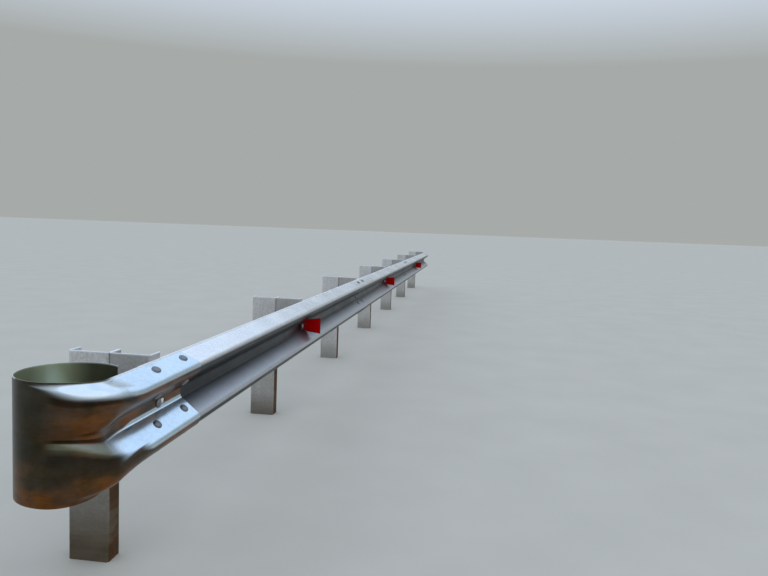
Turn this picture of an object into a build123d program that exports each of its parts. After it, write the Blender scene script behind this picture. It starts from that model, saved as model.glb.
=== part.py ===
from build123d import *
from math import sin, cos, tan, radians, degrees, hypot, sqrt, pi
import os

# Highway guardrail: a W-beam rail on channel posts with channel block-outs, ending in a curled terminal.
# X runs along the rail away from the terminal, traffic passes on the -Y side, Z is up from the ground.
# The origin is in the middle of the foot of the first post's web. All sizes are in millimetres.

# bays
bay = 2000
bays = 6
beam_pitch = 4000
beam_count = 3

# posts and block-outs, cold-formed channels of one section
post_height = 750
channel_web = 150
channel_flange = 75
channel_thick = 5
channel_bend = 10
block_height = 350
block_bolt_rise = 75
bolt_hole = 18
bolt_line = 48

# W-beam section, measured on the middle of the sheet unless said otherwise
sheet = 3
beam_height = 312
beam_depth = 83
crest_height = 97
crest_radius = 25.5
lip_radius = 9.5
inner_slope = 51
outer_slope = 67
beam_centre = 572

# joints between the beams
lap = 320
slot_shift = 24
splice_half_pitch = 108
splice_slot_long = 29
splice_slot_wide = 23
post_slot_long = 63
post_slot_wide = 19
cut_depth = 4 * sheet
flare_length = 80

# terminal
plate_half = 180
plate_stand = 50
curl_radius = 150
curl_turn = 306
curl_start = -325

# how the W fades into the plate, by the distance along the plan line from where the curl begins
fade_start = -140
fade_end = 300
fade_power = 1.2
rim_start = -115
rim_end = 223
rise_start = 20
rise_end = 200
stations = (-190, -165, fade_start, -115, -90, -60, -30, 0, 30, 60, 90, 120, 150, 185, rim_end, 260, fade_end)

# heights in the fade, and the shares of it over which the crest climbs to the plate's rim
rim_corner_up = 172
crest_mid_rise = 136
crest_end_rise = 167
valley_end_up = 6
valley_rise = 18
climb_start = 0.6
climb_share = 1 - climb_start

# the shoulder starts at a share of the inner slope, slides down to the foot and is lifted towards the crest
shoulder_start = 0.55
shoulder_end_rise = 16
shoulder_lift = 0.38
slide_share = 0.65
lift_share = 0.5

# bends of the terminal, as most that they take of a neighbouring slope
shoulder_bend = 12
slope_bend_limit = 0.45
valley_bend_limit = 0.85
crest_bend_limit = 0.75
shoulder_bend_limit = 0.2

# reflectors
reflector_posts = (1, 3, 5)
bracket_thick = 2
bracket_leg_half = 25
bracket_root_half = 26
bracket_leg_back = 25
bracket_leg_long = 78
bracket_reach = 118
bracket_face_half = 50
bracket_seat_gap = 0.1
sheeting_thick = 1
sheeting_margin = 2

# places worked out from the sizes above
back_plane = -channel_web / 2 - channel_web
first_splice = bolt_line + slot_shift
beam_back = sheet / 2
crest_middle = beam_depth - sheet / 2

os.makedirs("parts", exist_ok=True)


def ease(t):
    t = min(max(t, 0), 1)
    return t * t * (3 - 2 * t)


def blend(a, b, t):
    return a + (b - a) * t


# W-beam corners

# the crest corner is where the two slopes would meet without the bend
half_turn = radians((inner_slope + outer_slope) / 2)
lean = radians((outer_slope - inner_slope) / 2)
corner_reach = crest_radius / cos(half_turn)
crest_corner_out = crest_middle - crest_radius + corner_reach * cos(lean)
crest_corner_up = crest_height + corner_reach * sin(lean)
valley_corner_up = crest_corner_up - (crest_corner_out - beam_back) / tan(radians(inner_slope))
lip_corner_up = crest_corner_up + (crest_corner_out - beam_back) / tan(radians(outer_slope))

# each bend starts this far from its corner
crest_bend = crest_radius * tan(half_turn)
valley_bend = crest_radius * tan(radians(inner_slope / 2))
lip_bend = lip_radius * tan(radians(outer_slope / 2))


# half a W, from the upper lip to the middle, as (stand-off, height, bend before, bend after)
half_w = [
    (beam_back, beam_height / 2, 0, 0),
    (beam_back, lip_corner_up, lip_bend, lip_bend),
    (crest_corner_out, crest_corner_up, crest_bend, crest_bend),
    (beam_back, valley_corner_up, valley_bend, valley_bend),
]


def mirrored(half):
    # the lower half repeats the upper one, with its bends read the other way round
    return half + [(out, -up, after, before) for out, up, before, after in reversed(half)]


full_w = mirrored(half_w)


def sheet_side(corners, offset):
    # one face of the bent sheet, as a list of points for each straight run and each bend
    runs = []
    for a, b in zip(corners, corners[1:]):
        length = hypot(b[0] - a[0], b[1] - a[1])
        runs.append(((b[0] - a[0]) / length, (b[1] - a[1]) / length))
    pieces = []
    last = (corners[0][0] - offset * runs[0][1], corners[0][1] + offset * runs[0][0])
    for i in range(1, len(corners) - 1):
        out, up, before, after = corners[i]
        e, f = runs[i - 1], runs[i]
        alike = e[0] * f[0] + e[1] * f[1]
        start = (out - before * e[0] - offset * e[1], up - before * e[1] + offset * e[0])
        end = (out + after * f[0] - offset * f[1], up + after * f[1] + offset * f[0])
        corner = (out - offset * (e[1] + f[1]) / (1 + alike), up + offset * (e[0] + f[0]) / (1 + alike))
        pieces.append(("run", [last, start], None))
        pieces.append(("bend", [start, corner, end], sqrt((1 + alike) / 2)))
        last = end
    final = (corners[-1][0] - offset * runs[-1][1], corners[-1][1] + offset * runs[-1][0])
    pieces.append(("run", [last, final], None))
    return pieces


def draw_sheet(corners, inner_offset, outer_offset):
    # closed outline of the sheet between two offsets from its middle line, for use inside a BuildLine
    outer = sheet_side(corners, outer_offset)
    inner = sheet_side(corners, inner_offset)
    for side in (outer, inner):
        for kind, points, weight in side:
            if kind == "run":
                Line(*points)
            else:
                Bezier(*points, weights=(1, weight, 1))
    Line(outer[0][1][0], inner[0][1][0])
    Line(outer[-1][1][-1], inner[-1][1][-1])


def sheet_section(plane, corners, inner_offset, outer_offset):
    with BuildSketch(plane) as section:
        with BuildLine():
            draw_sheet(corners, inner_offset, outer_offset)
        make_face()
    return section.sketch


def rail_plane(x):
    # section plane across the straight rail: its x is the stand-off towards traffic, its y is up
    return Plane(origin=(x, back_plane, beam_centre), x_dir=(0, -1, 0), z_dir=(-1, 0, 0))


# Slots

def slope_points():
    # middle of a straight slope between two bends, with the slope's outward direction
    found = []
    for a, b in ((half_w[1], half_w[2]), (half_w[2], half_w[3])):
        length = hypot(b[0] - a[0], b[1] - a[1])
        e = ((b[0] - a[0]) / length, (b[1] - a[1]) / length)
        middle = (a[3] + length - b[2]) / 2
        found.append((a[0] + middle * e[0], a[1] + middle * e[1], -e[1], e[0]))
    return found


slopes = slope_points()
slopes += [(out, -up, n_out, -n_up) for out, up, n_out, n_up in slopes]


def slot_planes(x):
    # planes of the four slots of one row of a splice, one on each slope
    planes = []
    for out, up, n_out, n_up in slopes:
        place = (x, back_plane - out, beam_centre + up)
        planes.append(Plane(origin=place, x_dir=(1, 0, 0), z_dir=(0, -n_out, n_up)))
    return planes


def valley_plane(x):
    return Plane(origin=(x, back_plane, beam_centre), x_dir=(1, 0, 0), z_dir=(0, -1, 0))


def slot(plane, length, width):
    with BuildSketch(plane) as outline:
        SlotOverall(length, width)
    return outline.sketch


def post_slots(centres):
    return [slot(valley_plane(x), post_slot_long, post_slot_wide) for x in centres]


def splice_slots(centre):
    # eight slots, in two rows of four
    rows = (centre - splice_half_pitch, centre + splice_half_pitch)
    return [slot(plane, splice_slot_long, splice_slot_wide) for x in rows for plane in slot_planes(x)]


# Beams

# where one beam laps over the next, its end opens by a sheet's thickness to nest outside it
for n in range(beam_count):
    centre = first_splice + n * beam_pitch
    start = centre - lap / 2
    end = centre + beam_pitch + lap / 2
    lap_start = end - lap
    flare_start = lap_start - flare_length
    with BuildPart() as beam:
        if n == beam_count - 1:
            extrude(sheet_section(rail_plane(end), full_w, -sheet / 2, sheet / 2), amount=end - start)
        else:
            plain = sheet_section(rail_plane(flare_start), full_w, -sheet / 2, sheet / 2)
            nested = sheet_section(rail_plane(lap_start), full_w, sheet / 2, 3 * sheet / 2)
            tail = sheet_section(rail_plane(end), full_w, sheet / 2, 3 * sheet / 2)
            extrude(plain, amount=flare_start - start)
            loft([nested, plain], ruled=True)
            extrude(tail, amount=lap)
        holes = splice_slots(centre) + splice_slots(centre + beam_pitch)
        holes += post_slots((centre, centre + bay, centre + beam_pitch))
        for hole in holes:
            extrude(hole, amount=cut_depth, both=True, mode=Mode.SUBTRACT)
    beam.part.label = f"beam_{n + 1}"
    export_step(beam.part, f"parts/{beam.part.label}.step")


# Terminal

# The W fades into a taller plain plate, which curls round behind the rail.
# A station is a distance along the plan line, 0 where the curl begins and negative on the straight.
plan_radius = curl_radius - plate_stand - 3 * sheet / 2
curl_centre_y = back_plane + plan_radius
terminal_end_x = first_splice + lap / 2


def terminal_corners(s):
    # corners of the terminal at a station: a shoulder parts each inner slope into a steep foot and a flatter top
    rim = ease((s - rim_start) / (rim_end - rim_start))
    t = min(max((s - fade_start) / (fade_end - fade_start), 0), 1)
    depth = ((1 + cos(pi * t)) / 2) ** fade_power
    edge_out = blend(beam_back, plate_stand, rim)
    crest_out = blend(plate_stand, crest_corner_out, depth)
    crest_up = blend(crest_corner_up, crest_mid_rise, ease(2 * t))
    crest_up = blend(crest_up, crest_end_rise, ease((t - climb_start) / climb_share))
    lip_up = blend(lip_corner_up, rim_corner_up, rim)
    valley_up = blend(valley_corner_up, valley_end_up, rim)
    # the shoulder
    share = blend(shoulder_start, shoulder_end_rise / (crest_up - valley_up), ease(t / slide_share))
    shoulder_up = blend(valley_up, crest_up, share)
    shoulder_out = blend(edge_out, crest_out, share)
    shoulder_out = blend(shoulder_out, crest_out, shoulder_lift * ease(t / lift_share))
    # the bends
    outer = hypot(crest_out - edge_out, lip_up - crest_up)
    top = hypot(crest_out - shoulder_out, crest_up - shoulder_up)
    foot = hypot(shoulder_out - edge_out, shoulder_up - valley_up)
    lip_bend_now = min(lip_bend, slope_bend_limit * outer)
    crest_before = min(crest_bend, slope_bend_limit * outer)
    crest_after = min(crest_bend, crest_bend_limit * top)
    shoulder_bend_now = min(shoulder_bend, slope_bend_limit * foot, shoulder_bend_limit * top)
    valley_bend_now = min(valley_bend, valley_bend_limit * valley_up, slope_bend_limit * foot)
    corners = mirrored([
        (edge_out, blend(beam_height / 2, plate_half, rim), 0, 0),
        (edge_out, lip_up, lip_bend_now, lip_bend_now),
        (crest_out, crest_up, crest_before, crest_after),
        (shoulder_out, shoulder_up, shoulder_bend_now, shoulder_bend_now),
        (edge_out, valley_up, valley_bend_now, valley_bend_now),
    ])
    # the valley and its two feet climb together round the curl
    rise = valley_rise * ease((s - rise_start) / (rise_end - rise_start))
    inner = [(out, up + rise, before, after) for out, up, before, after in corners[3:7]]
    return corners[:3] + inner + corners[7:]


def station_turn(s):
    return degrees(s / curl_radius)


def terminal_plane(s):
    # section plane across the plan line, straight first and then round the curl
    if s <= 0:
        return rail_plane(curl_start - s)
    turn = radians(station_turn(s))
    outward = (-sin(turn), -cos(turn), 0)
    onward = (-cos(turn), sin(turn), 0)
    place = (
        curl_start + plan_radius * outward[0],
        curl_centre_y + plan_radius * outward[1],
        beam_centre,
    )
    return Plane(origin=place, x_dir=outward, z_dir=onward)


# the terminal nests outside the first beam, so its sheet lies one thickness further out
inner_face = sheet / 2
outer_face = 3 * sheet / 2

with BuildPart() as terminal_end:
    # straight W that laps over the first beam
    lapped = sheet_section(rail_plane(terminal_end_x), full_w, inner_face, outer_face)
    extrude(lapped, amount=terminal_end_x - (curl_start - stations[0]))
    # the W fades out over the straight and the first third of the curl
    loft([sheet_section(terminal_plane(s), terminal_corners(s), inner_face, outer_face) for s in stations])
    # the plain plate goes on round the curl
    with BuildSketch(terminal_plane(fade_end)) as plate_end:
        with Locations((plate_stand + sheet, 0)):
            Rectangle(sheet, 2 * plate_half)
    curl_axis = Axis((curl_start, curl_centre_y, 0), (0, 0, -1))
    revolve(plate_end.sketch, axis=curl_axis, revolution_arc=curl_turn - station_turn(fade_end))
    for hole in splice_slots(first_splice) + post_slots((first_splice,)):
        extrude(hole, amount=cut_depth, both=True, mode=Mode.SUBTRACT)

terminal_end.part.label = "terminal_end"
export_step(terminal_end.part, "parts/terminal_end.step")


# Posts and block-outs

def channel_outline(middle_y):
    # plan of a channel with its web across the rail and its flanges pointing along it
    near = -channel_thick / 2
    far = near + channel_flange
    left = middle_y + channel_web / 2
    right = middle_y - channel_web / 2
    with BuildSketch() as outline:
        with BuildLine():
            FilletPolyline((far, left), (near, left), (near, right), (far, right), radius=channel_bend)
            offset(amount=channel_thick, side=Side.LEFT)
        make_face()
    return outline.sketch


def bolt_holes(y, rises):
    # round holes through a flange at y, on the bolt line
    holes = []
    for rise in rises:
        place = (bolt_line, y, beam_centre + rise)
        with BuildSketch(Plane(origin=place, x_dir=(1, 0, 0), z_dir=(0, -1, 0))) as hole:
            Circle(bolt_hole / 2)
        holes.append(hole.sketch)
    return holes


post_side = -channel_web / 2
pair = (-block_bolt_rise, block_bolt_rise)

with BuildPart() as post:
    extrude(channel_outline(0), amount=post_height)
    for hole in bolt_holes(post_side, pair):
        extrude(hole, amount=2 * channel_thick, both=True, mode=Mode.SUBTRACT)

with BuildPart() as block:
    outline = channel_outline(-channel_web)
    extrude(Pos(0, 0, post_height - block_height) * outline, amount=block_height)
    for hole in bolt_holes(post_side, pair) + bolt_holes(back_plane, (0,)):
        extrude(hole, amount=2 * channel_thick, both=True, mode=Mode.SUBTRACT)

for n in range(bays + 1):
    for name, piece in (("post", post.part), ("block_out", block.part)):
        copy = Pos(n * bay, 0, 0) * piece
        copy.label = f"{name}_{n}"
        export_step(copy, f"parts/{copy.label}.step")


# Reflectors

# the bracket's leg rests on the two bends beside the valley, under the post bolt's head
valley_flat = valley_corner_up - valley_bend
bend_face = crest_radius - beam_back
leg_back = beam_back + crest_radius - sqrt(bend_face**2 - (bracket_leg_half - valley_flat) ** 2) + bracket_seat_gap
leg_start = bolt_line - bracket_leg_back
face_x = leg_start + bracket_leg_long
leg_front = leg_back + bracket_thick


def mirrored_outline(x, half):
    # closed outline across the rail from its upper half, as (stand-off, height)
    with BuildSketch(rail_plane(x)) as shape:
        with BuildLine():
            Polyline(*half, *[(out, -up) for out, up in reversed(half)], close=True)
        make_face()
    return shape.sketch


# a low leg, then a face that widens towards the crests
bracket_half = [
    (leg_back, bracket_leg_half),
    (leg_front, bracket_root_half),
    (bracket_reach, bracket_face_half),
]
sheeting_half = [
    (leg_front + sheeting_margin, bracket_root_half - sheeting_margin),
    (bracket_reach - sheeting_margin, bracket_face_half - sheeting_margin),
]

with BuildPart() as bracket:
    with BuildSketch(Plane.XY.offset(beam_centre - bracket_face_half)):
        with BuildLine():
            leg_y = back_plane - leg_back
            tip_y = back_plane - bracket_reach
            FilletPolyline((leg_start, leg_y), (face_x, leg_y), (face_x, tip_y), radius=2 * bracket_thick)
            offset(amount=bracket_thick, side=Side.RIGHT)
        make_face()
    extrude(amount=2 * bracket_face_half)
    extrude(mirrored_outline(face_x, bracket_half), amount=bracket_leg_long, both=True, mode=Mode.INTERSECT)
    with BuildSketch(valley_plane(bolt_line)):
        Circle(bolt_hole / 2)
    extrude(amount=bracket_reach / 2, mode=Mode.SUBTRACT)

with BuildPart() as sheeting:
    extrude(mirrored_outline(face_x - bracket_thick, sheeting_half), amount=sheeting_thick)

for n in reflector_posts:
    for name, piece in (("reflector_bracket", bracket.part), ("reflector_sheeting", sheeting.part)):
        copy = Pos(n * bay, 0, 0) * piece
        copy.label = f"{name}_{n}"
        export_step(copy, f"parts/{copy.label}.step")
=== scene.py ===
import bpy
import math
import numpy as np
from mathutils import Matrix, Vector


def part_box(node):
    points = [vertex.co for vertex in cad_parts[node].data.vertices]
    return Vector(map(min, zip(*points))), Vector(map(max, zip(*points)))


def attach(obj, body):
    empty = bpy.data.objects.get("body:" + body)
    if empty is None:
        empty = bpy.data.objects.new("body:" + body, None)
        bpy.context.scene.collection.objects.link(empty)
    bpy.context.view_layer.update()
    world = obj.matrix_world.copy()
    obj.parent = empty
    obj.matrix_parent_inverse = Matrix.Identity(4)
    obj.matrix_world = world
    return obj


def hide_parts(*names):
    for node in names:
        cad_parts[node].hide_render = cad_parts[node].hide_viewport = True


# Highway guardrail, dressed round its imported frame. Metres: X runs along the rail away from the terminal,
# traffic passes on the -Y side, Z is up. A stand-off is measured from the rail's back towards traffic.

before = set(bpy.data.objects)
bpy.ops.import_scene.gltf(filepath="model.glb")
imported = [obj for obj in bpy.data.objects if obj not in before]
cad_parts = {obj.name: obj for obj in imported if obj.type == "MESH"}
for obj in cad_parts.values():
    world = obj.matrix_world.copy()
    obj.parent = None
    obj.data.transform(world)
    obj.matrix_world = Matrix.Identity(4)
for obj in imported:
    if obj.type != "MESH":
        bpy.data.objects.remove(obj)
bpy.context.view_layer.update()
print("frame loaded:", len(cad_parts), "nodes")

# places read from the frame
postCount = sum(name.startswith("post_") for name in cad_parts)
beamCount = sum(name.startswith("beam_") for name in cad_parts)
reflectorPosts = [n for n in range(postCount) if f"reflector_bracket_{n}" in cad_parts]
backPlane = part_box("block_out_0")[0].y  # the rail's back rests on this plane
railMiddle = (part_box("beam_3")[0].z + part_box("beam_3")[1].z) / 2
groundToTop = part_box("post_0")[1].z
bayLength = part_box("post_1")[0].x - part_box("post_0")[0].x


# Bent sheets

def ease(t):
    t = np.clip(t, 0, 1)
    return t * t * (3 - 2 * t)


def between(a, b, t):
    return a + (b - a) * t


def spacedLines(low, high, step):
    return np.linspace(low, high, math.ceil(round((high - low) / step, 6)) + 1)


def gridLines(low, high, step, windows):
    # lines from low to high, at most a step apart; a window (middle, half width, cells) has its own even lines
    lines, last = [], low
    for middle, half, cells in sorted(windows):
        lines.append(spacedLines(last, middle - half, step)[:-1])
        lines.append(np.linspace(middle - half, middle + half, cells + 1)[:-1])
        last = middle + half
    return np.concatenate(lines + [spacedLines(last, high, step)])


def sheetPoints(corners, lift, v):
    # Points on a bent sheet. Corners holds the corners of its section, one section for all points or one for each,
    # every corner as its two places and the lengths of its bend before and after it. Between whole values of v the
    # point crosses a straight run (0 to 1, 2 to 3, ...) or a bend (1 to 2, ...), which is an exact arc: a rational
    # curve of second degree whose middle weight is the cosine of half the turn. Lift is the distance off the
    # middle line.
    corners = np.broadcast_to(corners, (len(v), *corners.shape[-2:]))
    corner, before, after = corners[..., :2], corners[..., 2:3], corners[..., 3:4]
    run = np.diff(corner, axis=1)
    run = run / np.linalg.norm(run, axis=-1, keepdims=True)
    side = np.stack([-run[..., 1], run[..., 0]], -1)
    lift = np.broadcast_to(np.asarray(lift, float), len(corners))[:, None, None]
    runStart = corner[:, :-1] + after[:, :-1] * run + lift * side
    runEnd = corner[:, 1:] - before[:, 1:] * run + lift * side
    alike = (run[:, :-1] * run[:, 1:]).sum(-1, keepdims=True)
    bendCorner = corner[:, 1:-1] + lift * (side[:, :-1] + side[:, 1:]) / (1 + alike)
    bendWeight = np.sqrt((1 + alike) / 2)
    runs = run.shape[1]
    piece = np.clip(np.floor(v + 1e-9).astype(int), 0, 2 * runs - 2)
    t = (v - piece)[:, None]
    row, k = np.arange(len(v)), piece // 2
    bend = np.minimum(k, runs - 2)
    onRun = between(runStart[row, k], runEnd[row, k], t)
    weights = ((1 - t) ** 2, 2 * t * (1 - t) * bendWeight[row, bend], t ** 2)
    ends = (runEnd[row, bend], bendCorner[row, bend], runStart[row, bend + 1])
    onBend = sum(weight * end for weight, end in zip(weights, ends)) / sum(weights)
    return np.where((piece % 2 == 0)[:, None], onRun, onBend)


tableSteps = 4000  # steps of the table below


def sectionTable(section):
    # the parameter v and the length along the sheet's middle line, side by side
    v = np.linspace(0, 2 * len(section) - 3, tableSteps + 1)
    steps = np.diff(sheetPoints(section, 0, v), axis=0)
    along = np.concatenate([[0], np.linalg.norm(steps, axis=1).cumsum()])
    return v, along


def roundHole(u, a, size, window):
    return {"u": u, "a": a, "length": size, "width": size, "windowU": window, "windowA": window}


def slottedGrid(u, a, slots):
    # Quads over a grid of lines, with a slot cut in each window: the cells under it are left out, and each point
    # of the window's edge is joined to the point of the slot's outline that lies in the same direction.
    points = np.stack(np.meshgrid(u, a, indexing="ij"), -1).reshape(-1, 2)
    index = np.arange(len(points)).reshape(len(u), len(a))
    keep = np.ones((len(u) - 1, len(a) - 1), bool)
    quads = []
    for slot in slots:
        i0, i1 = (np.abs(u - slot["u"] - s * slot["windowU"]).argmin() for s in (-1, 1))
        j0, j1 = (np.abs(a - slot["a"] - s * slot["windowA"]).argmin() for s in (-1, 1))
        keep[i0:i1, j0:j1] = False
        ring = np.concatenate([index[i0:i1, j0], index[i1, j0:j1],
                               index[i0 + 1:i1 + 1, j1][::-1], index[i0, j0 + 1:j1 + 1][::-1]])
        centre = np.array([slot["u"], slot["a"]])
        direction = points[ring] - centre
        direction /= np.linalg.norm(direction, axis=1, keepdims=True)
        radius, straight = slot["width"] / 2, (slot["length"] - slot["width"]) / 2
        across, rise = np.abs(direction).T
        onSide = radius / np.maximum(rise, 1e-9)
        onEnd = straight * across + np.sqrt(np.maximum(radius ** 2 - (straight * rise) ** 2, 0))
        reach = np.where(onSide * across <= straight, onSide, onEnd)
        hole = len(points) + np.arange(len(ring))
        quads.append(np.stack([ring, np.roll(ring, -1), np.roll(hole, -1), hole], 1))
        points = np.concatenate([points, centre + reach[:, None] * direction])
    grid = np.stack([index[:-1, :-1], index[1:, :-1], index[1:, 1:], index[:-1, 1:]], -1)[keep]
    return points, np.concatenate([grid] + quads)


def closeSheet(quads, count):
    # the front quads, the back ones turned over, and a rim along every edge that only one quad uses
    edges = np.stack([quads, np.roll(quads, -1, axis=1)], -1).reshape(-1, 2)
    key, back = edges[:, 0] * count + edges[:, 1], edges[:, 1] * count + edges[:, 0]
    rim = edges[~np.isin(key, back)]
    sides = np.stack([rim[:, 1], rim[:, 0], rim[:, 0] + count, rim[:, 1] + count], 1)
    return np.concatenate([quads, quads[:, ::-1] + count, sides])


def makeMesh(name, points, faces, material, attributes=None):
    # a smooth mesh on the root body; attributes hold one value for each point, which its material reads
    mesh = bpy.data.meshes.new(name)
    mesh.from_pydata(points.tolist(), [], [face.tolist() if hasattr(face, "tolist") else face for face in faces])
    mesh.validate()
    mesh.polygons.foreach_set("use_smooth", np.ones(len(mesh.polygons), bool))
    for key, values in (attributes or {}).items():
        layer = mesh.attributes.new(key, "FLOAT", "POINT")
        layer.data.foreach_set("value", np.asarray(values, np.float32))
    mesh.materials.append(material)
    piece = bpy.data.objects.new(name, mesh)
    bpy.context.scene.collection.objects.link(piece)
    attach(piece, "root")
    return piece


def softenEdges(piece, width, segments=2, angle=50):
    # rolls the edges that turn by more than the angle, in degrees, and lets the large faces set the shading
    bevel = piece.modifiers.new("rolled edges", "BEVEL")
    bevel.width = width
    bevel.segments = segments
    bevel.limit_method = "ANGLE"
    bevel.angle_limit = math.radians(angle)
    weighted = piece.modifiers.new("even shading", "WEIGHTED_NORMAL")
    weighted.keep_sharp = True
    weighted.mode = "FACE_AREA"


# Materials

def node(tree, kind, inputs=None, **fields):
    # a shader node with its fields set; a socket given as an input is linked, anything else is its value
    made = tree.nodes.new("ShaderNode" + kind)
    for key, value in fields.items():
        setattr(made, key, value)
    for key, value in (inputs or {}).items():
        if isinstance(value, bpy.types.NodeSocket):
            tree.links.new(value, made.inputs[key])
        else:
            made.inputs[key].default_value = value
    return made


def mixColour(tree, share, first, second, mode="MIX"):
    mixed = node(tree, "Mix", {0: share, 6: first, 7: second}, data_type="RGBA", blend_type=mode)
    return mixed.outputs[2]


def toned(tree, colour, tone):
    # a colour made darker or lighter by a plain factor
    grey = node(tree, "CombineColor", {"Red": tone, "Green": tone, "Blue": tone}).outputs["Color"]
    return mixColour(tree, 1.0, colour, grey, "MULTIPLY")


def sums(tree, kind, first, second):
    return node(tree, "Math", {0: first, 1: second}, operation=kind).outputs[0]


def spread(tree, value, low, high, newLow=0.0, newHigh=1.0):
    # stretches the range low..high over newLow..newHigh
    inputs = {"Value": value, "From Min": low, "From Max": high, "To Min": newLow, "To Max": newHigh}
    return node(tree, "MapRange", inputs).outputs["Result"]


def noise(tree, place, scale, detail=3.0, rough=0.5, stretch=(1, 1, 1)):
    where = node(tree, "Mapping", {"Vector": place, "Scale": stretch}).outputs["Vector"]
    inputs = {"Vector": where, "Scale": scale, "Detail": detail, "Roughness": rough}
    return node(tree, "TexNoise", inputs).outputs["Fac"]


def attribute(tree, name):
    return node(tree, "Attribute", attribute_name=name).outputs["Fac"]


def bumped(tree, height, depth, strength=1.0, under=None):
    # the surface's direction, bent by a height, on top of an earlier bump if one is given
    inputs = {"Height": height, "Distance": depth, "Strength": strength}
    if under is not None:
        inputs["Normal"] = under
    return node(tree, "Bump", inputs).outputs["Normal"]


def newMaterial(name):
    # an empty material with its tree, and the place of a point on its object
    material = bpy.data.materials.new(name)
    material.use_nodes = True
    tree = material.node_tree
    tree.nodes.clear()
    return material, tree, node(tree, "TexCoord").outputs["Object"]


def finishMaterial(tree, inputs):
    shader = node(tree, "BsdfPrincipled", inputs)
    node(tree, "OutputMaterial", {"Surface": shader.outputs["BSDF"]})


# Hot-dip galvanised steel in its several states: colours are linear, lengths are in metres. The film is road
# dirt, and on the beams and the terminal it is also painted shade and painted reflection of the ground; the
# inside film is its colour in sheltered places, on the terminal a painted greenish reflection; patchy is the
# share of it left in its thinnest patches.
zincLooks = {
    # the terminal's zinc is tinted blue, partly a painted reflection of the sky
    "terminalZinc": {
        "pale": (0.68, 0.83, 0.96, 1), "dull": (0.59, 0.735, 0.86, 1), "film": (0.038, 0.029, 0.013, 1),
        "rust": (0.215, 0.073, 0.013, 1), "insideFilmAndReflection": (0.54, 0.56, 0.38, 1), "metal": 1.0, "filmMetal": 0.85,
        "roughLow": 0.12, "roughHigh": 0.20, "filmRough": 0.16, "streak": 0.15, "patchy": 0.97,
        "spangle": 0.012, "spangleShare": 0.04, "wave": 0.0010, "grain": 0.0, "gloss": 0.4,
    },
    "beamZinc": {
        "pale": (0.93, 0.97, 1.00, 1), "dull": (0.83, 0.87, 0.95, 1), "film": (0.020, 0.022, 0.025, 1),
        "rust": (0.060, 0.045, 0.035, 1), "insideFilmAndReflection": (0.15, 0.15, 0.14, 1), "metal": 1.0, "filmMetal": 0.85,
        "roughLow": 0.20, "roughHigh": 0.30, "filmRough": 0.14, "streak": 0.15, "patchy": 0.985,
        "spangle": 0.010, "spangleShare": 0.05, "wave": 0.0006, "grain": 0.0, "gloss": 0.4,
    },
    "channelZinc": {
        "pale": (0.74, 0.72, 0.69, 1), "dull": (0.56, 0.545, 0.52, 1), "film": (0.115, 0.088, 0.056, 1),
        "rust": (0.085, 0.036, 0.008, 1), "insideFilmAndReflection": (0.19, 0.165, 0.135, 1), "metal": 0.4, "filmMetal": 0.2,
        "roughLow": 0.45, "roughHigh": 0.62, "filmRough": 0.2, "streak": 0.30, "patchy": 0.97,
        "spangle": 0.007, "spangleShare": 0.12, "wave": 0.0004, "grain": 0.00008, "gloss": 0.25,
    },
    "boltZinc": {
        "pale": (0.32, 0.33, 0.35, 1), "dull": (0.20, 0.20, 0.21, 1), "film": (0.12, 0.105, 0.09, 1),
        "rust": (0.12, 0.09, 0.07, 1), "insideFilmAndReflection": (0.12, 0.105, 0.09, 1), "metal": 0.9, "filmMetal": 0.3,
        "roughLow": 0.34, "roughHigh": 0.50, "filmRough": 0.2, "streak": 0.0, "patchy": 0.80,
        "spangle": 0.004, "spangleShare": 0.10, "wave": 0.0, "grain": 0.00006, "gloss": 0.5,
    },
}

# what the four share; a noise is its repeats in a metre, detail, roughness and stretch
zincShared = {
    "patches": (5.0, 4.0, 0.55), "streaks": (34.0, 3.0, 0.6, (1, 1, 0.07)), "dirt": (14.0, 5.0, 0.62),
    "bands": (30.0, 4.0, 0.6, (0.16, 0.16, 1)), "blotches": (9.0, 4.0, 0.6, (0.5, 0.5, 1)),
    "waves": (3.2, 1.5, 0.4), "grain": (900.0, 2.0, 0.6),
    "bumpGain": 6,  # a noise swings over about a sixth of its height
    # the last two: the tone of the painted dark reflection lines and the white of the painted highlights
    "bandTone": (0.80, 1.20), "leastRust": 0.10, "darkReflectionTone": 0.2, "whiteHighlight": (0.93, 0.95, 0.98, 1),
}


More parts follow.
